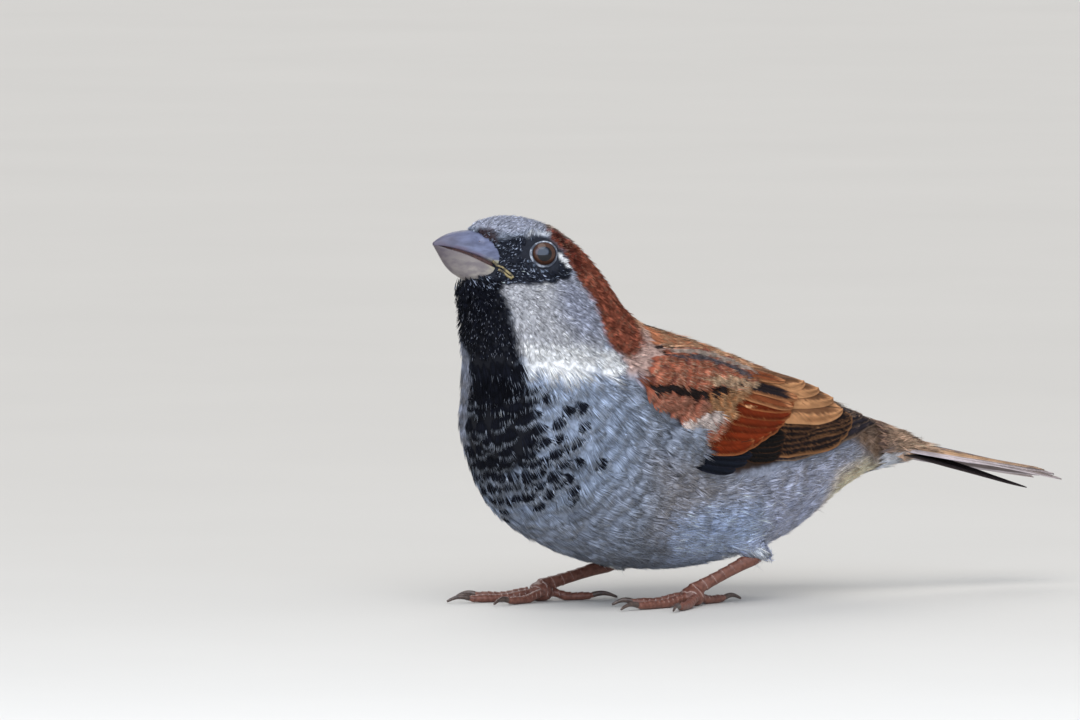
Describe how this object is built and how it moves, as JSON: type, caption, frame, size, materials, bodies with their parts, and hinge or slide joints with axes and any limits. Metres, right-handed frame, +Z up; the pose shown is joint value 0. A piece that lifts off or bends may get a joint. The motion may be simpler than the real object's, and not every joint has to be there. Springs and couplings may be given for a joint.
{
  "type": "house sparrow",
  "caption": "Life-size still model of a male house sparrow, standing crouched with head raised, wings folded and tail straight out behind.",
  "frame": {"origin": "on the floor, under the centre of the bird's box", "axes": "+Z up; the bird faces -X and its left side is towards -Y"},
  "size_m": [0.1442, 0.0508, 0.0789],
  "materials": {
    "head_plumage": "short soft feathers: grey crown, chestnut nape, black mask and throat, pale grey cheek",
    "body_plumage": "soft loose feathers: grey-white below, black bib with pale fringes, streaked brown back",
    "wing_plumage": "overlapping chestnut feathers with buff edges, black centres and a white bar",
    "flight_feathers": "smooth firm vanes, dark brown with buff edges",
    "bill": "horn with a soft shine, blue-grey above and paler below",
    "eye": "wet gloss, dark brown",
    "leg": "overlapping scales, reddish brown",
    "claw": "dark polished horn"
  },
  "bodies": {
    "root": {"bill_lower": "bill", "bill_upper": "bill", "claw_hind_left": "claw", "claw_hind_right": "claw", "claw_inner_left": "claw", "claw_inner_right": "claw", "claw_middle_left": "claw", "claw_middle_right": "claw", "claw_outer_left": "claw", "claw_outer_right": "claw", "eye_left": "eye", "eye_right": "eye", "head": "head_plumage", "neck": "body_plumage", "shin_left": "body_plumage", "shin_right": "body_plumage", "tail": "flight_feathers", "tarsus_left": "leg", "tarsus_right": "leg", "toe_hind_left": "leg", "toe_hind_right": "leg", "toe_inner_left": "leg", "toe_inner_right": "leg", "toe_middle_left": "leg", "toe_middle_right": "leg", "toe_outer_left": "leg", "toe_outer_right": "leg", "trunk": "body_plumage", "wing_coverts_left": "wing_plumage", "wing_coverts_right": "wing_plumage", "wing_quills_left": "flight_feathers", "wing_quills_right": "flight_feathers"}
  },
  "joints": []
}
